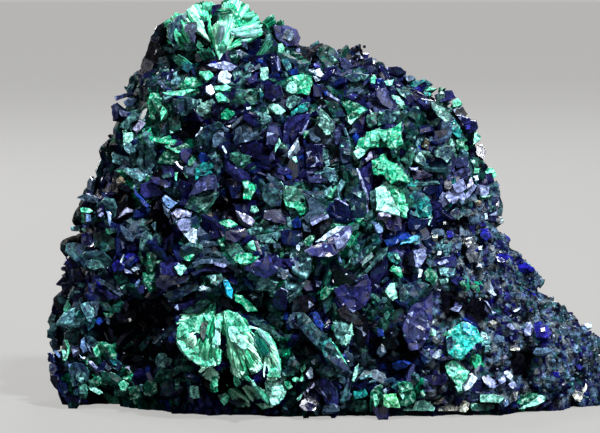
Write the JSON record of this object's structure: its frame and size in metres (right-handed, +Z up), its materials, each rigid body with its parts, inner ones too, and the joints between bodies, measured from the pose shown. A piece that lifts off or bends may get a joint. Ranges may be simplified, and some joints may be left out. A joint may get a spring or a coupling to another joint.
{
  "type": "azurite specimen",
  "caption": "Free-standing block of intergrown azurite blades with radiating malachite sprays, cut flat at the base for display.",
  "frame": {"origin": "middle of the flat base that the specimen stands on", "axes": "+X along the specimen's length, to the right as seen from its display face; -Y out of the display face; +Z up"},
  "size_m": [0.0782, 0.0458, 0.0552],
  "materials": {
    "azurite": "gloss",
    "malachite": "satin"
  },
  "bodies": {
    "root": {"azurite_cluster": "azurite", "malachite_spray_crown": "malachite", "malachite_spray_lower": "malachite"}
  },
  "joints": []
}
